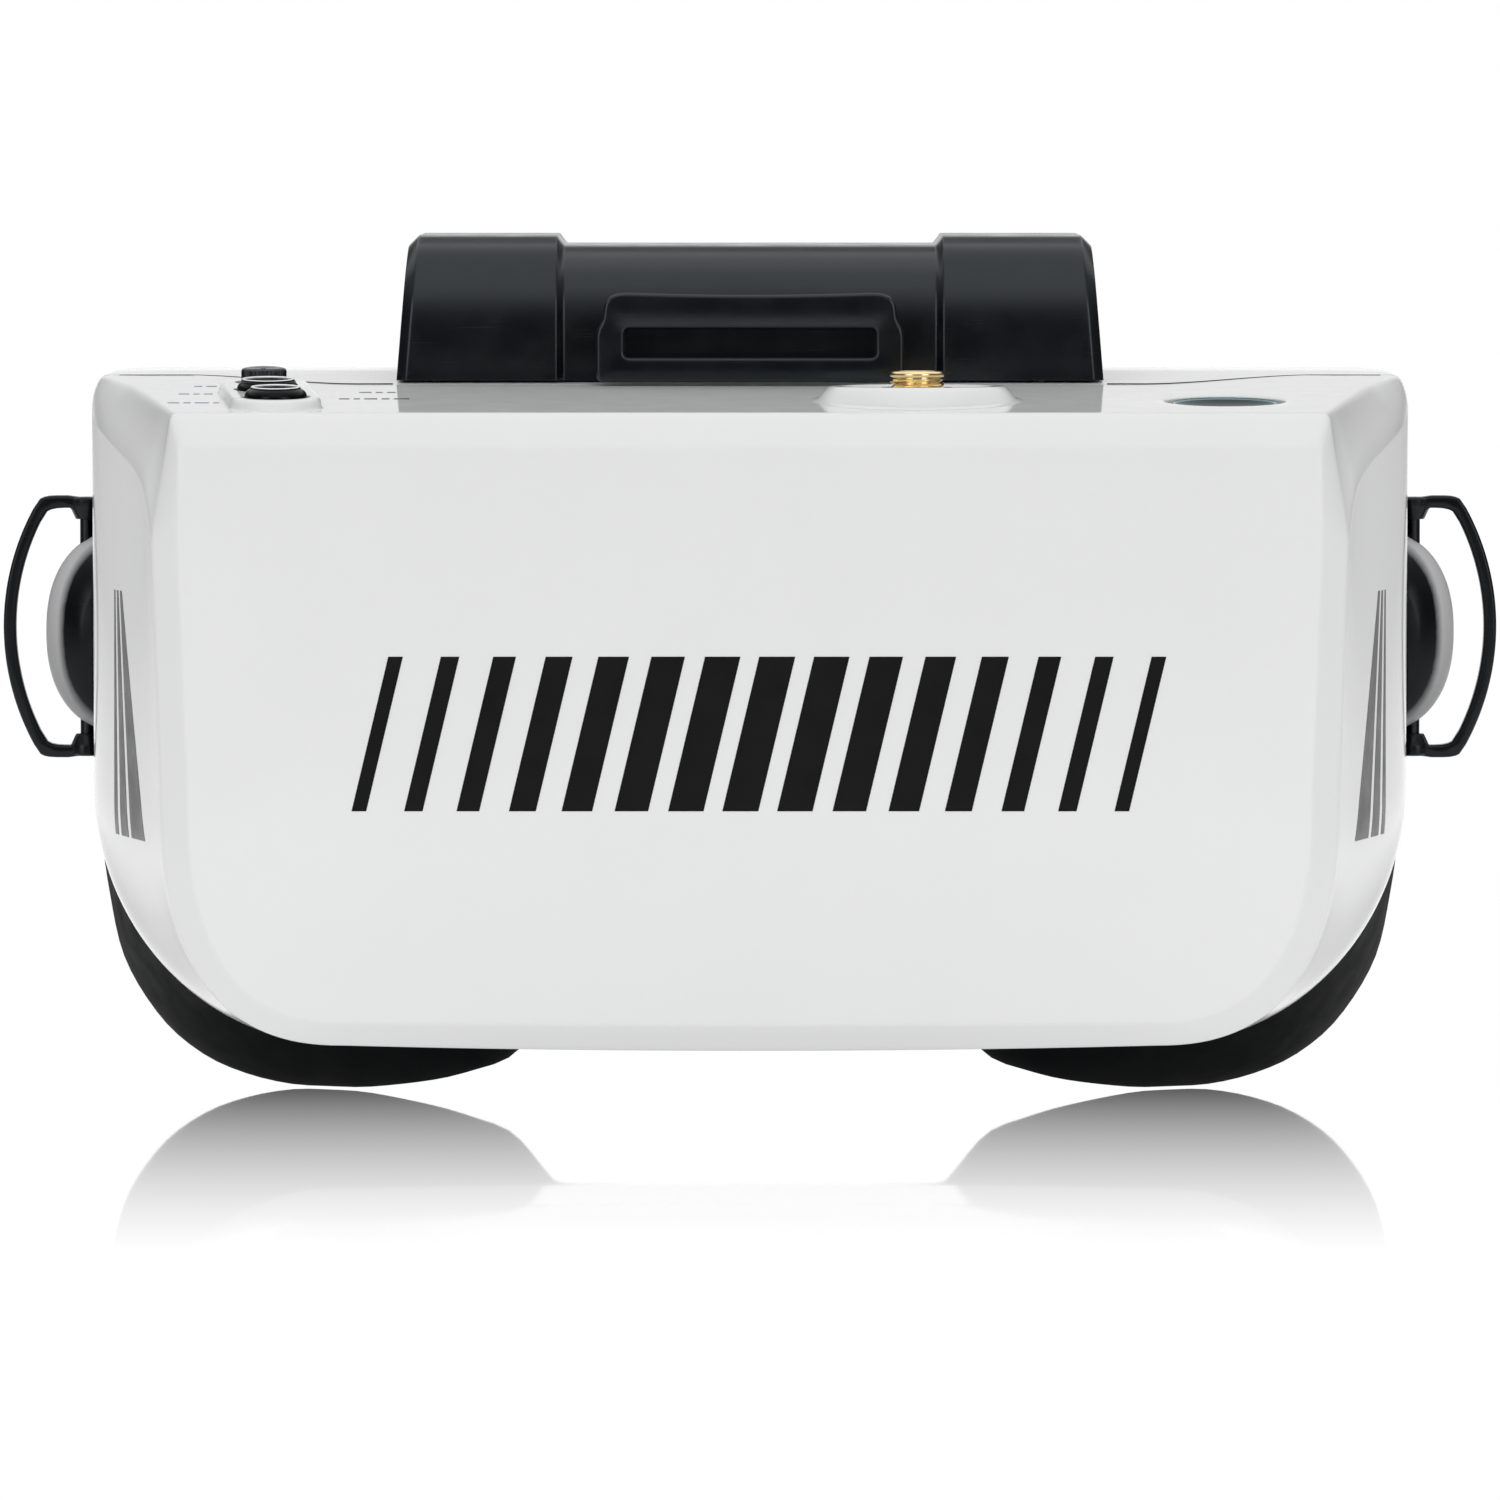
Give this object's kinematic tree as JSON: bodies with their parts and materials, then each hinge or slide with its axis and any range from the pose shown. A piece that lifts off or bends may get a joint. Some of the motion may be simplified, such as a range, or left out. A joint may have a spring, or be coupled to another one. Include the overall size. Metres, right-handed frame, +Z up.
{
  "type": "fpv goggles",
  "caption": "Box-shaped FPV video goggles: white shell, black battery hump, curved face plate with foam, hinged strap loops, top controls and a gold antenna socket.",
  "frame": {"origin": "centre of the bounding box's bottom face: on the resting plane, midway between the front face and the back of the foam", "axes": "+X to the right seen from the front (the wearer's left), +Y towards the wearer's face, +Z up; the flat front looks along -Y"},
  "size_m": [0.18, 0.126, 0.104],
  "materials": {
    "white_gloss": "gloss white moulded plastic",
    "black_satin": "satin black moulded plastic",
    "black_matt": "matt black moulded plastic",
    "black_gloss": "gloss black moulded plastic",
    "foam_fabric": "black fabric-faced foam",
    "hook_tape": "black hook tape",
    "gold_plate": "gold-plated brass",
    "screw_steel": "plain steel",
    "lens_acrylic": "clear acrylic",
    "panel_black": "dark glossy display",
    "board_green": "green circuit board",
    "shield_can": "tinned shield",
    "cell_sleeve": "blue shrink sleeve",
    "nickel_spring": "nickel-plated spring steel",
    "cable_black": "black insulation",
    "wire_red": "red insulation",
    "flex_amber": "amber flexible circuit",
    "button_teal": "dark teal gloss plastic"
  },
  "bodies": {
    "goggles": {"front_shell": "white_gloss", "rear_housing": "white_gloss", "face_plate": "black_matt", "face_foam": "foam_fabric", "hook_tape": "hook_tape", "battery_cover": "black_satin", "battery_tray": "black_matt", "battery_cell_1": "cell_sleeve", "battery_cell_2": "cell_sleeve", "cell_spring_1": "nickel_spring", "cell_spring_2": "nickel_spring", "contact_left": "nickel_spring", "contact_right": "nickel_spring", "top_strap_loop": "black_satin", "antenna_socket": "gold_plate", "antenna_nut": "gold_plate", "antenna_cable": "cable_black", "receiver_board": "board_green", "receiver_can": "shield_can", "main_board": "board_green", "display_panel": "panel_black", "display_ribbon": "flex_amber", "display_frame": "black_matt", "light_hood": "black_matt", "eye_lens": "lens_acrylic", "lens_frame": "black_matt", "control_board": "board_green", "switch_front": "black_matt", "switch_middle": "black_matt", "switch_dial": "black_matt", "power_board": "board_green", "switch_power": "black_matt", "battery_wire_red": "wire_red", "battery_wire_black": "cable_black", "loop_boss_left": "black_gloss", "loop_boss_right": "black_gloss", "loop_pin_left": "screw_steel", "loop_pin_right": "screw_steel", "shell_screw_1": "screw_steel", "plate_screw_1": "screw_steel", "shell_screw_2": "screw_steel", "plate_screw_2": "screw_steel", "shell_screw_3": "screw_steel", "plate_screw_3": "screw_steel", "shell_screw_4": "screw_steel", "plate_screw_4": "screw_steel"},
    "front_button": {"button_front": "black_satin"},
    "middle_button": {"button_middle": "black_satin"},
    "dial": {"dial": "black_satin"},
    "power_button": {"power_button": "button_teal"},
    "left_loop": {"strap_loop_left": "black_satin"},
    "right_loop": {"strap_loop_right": "black_satin"}
  },
  "joints": [
    {"name": "front_button_press", "type": "slide", "parent": "goggles", "child": "front_button", "axis": [0, 0.0708, -0.9975], "range_m": [0, 0.0004], "stiffness_N_per_m": 600},
    {"name": "middle_button_press", "type": "slide", "parent": "goggles", "child": "middle_button", "axis": [0, 0.0708, -0.9975], "range_m": [0, 0.0004], "stiffness_N_per_m": 600},
    {"name": "dial_turn", "type": "hinge", "parent": "goggles", "child": "dial", "pos_m": [-0.0562, -0.0358, 0.08598], "axis": [0, -0.0708, 0.9975], "range_deg": [-140, 140]},
    {"name": "power_press", "type": "slide", "parent": "goggles", "child": "power_button", "axis": [0, 0.0708, -0.9975], "range_m": [0, 0.0004], "stiffness_N_per_m": 600},
    {"name": "left_loop_swing", "type": "hinge", "parent": "goggles", "child": "left_loop", "pos_m": [-0.08, 0.029, 0.0564], "axis": [0, 0, -1], "range_deg": [-15, 60]},
    {"name": "right_loop_swing", "type": "hinge", "parent": "goggles", "child": "right_loop", "pos_m": [0.08, 0.029, 0.0564], "axis": [0, 0, 1], "range_deg": [-15, 60]}
  ]
}
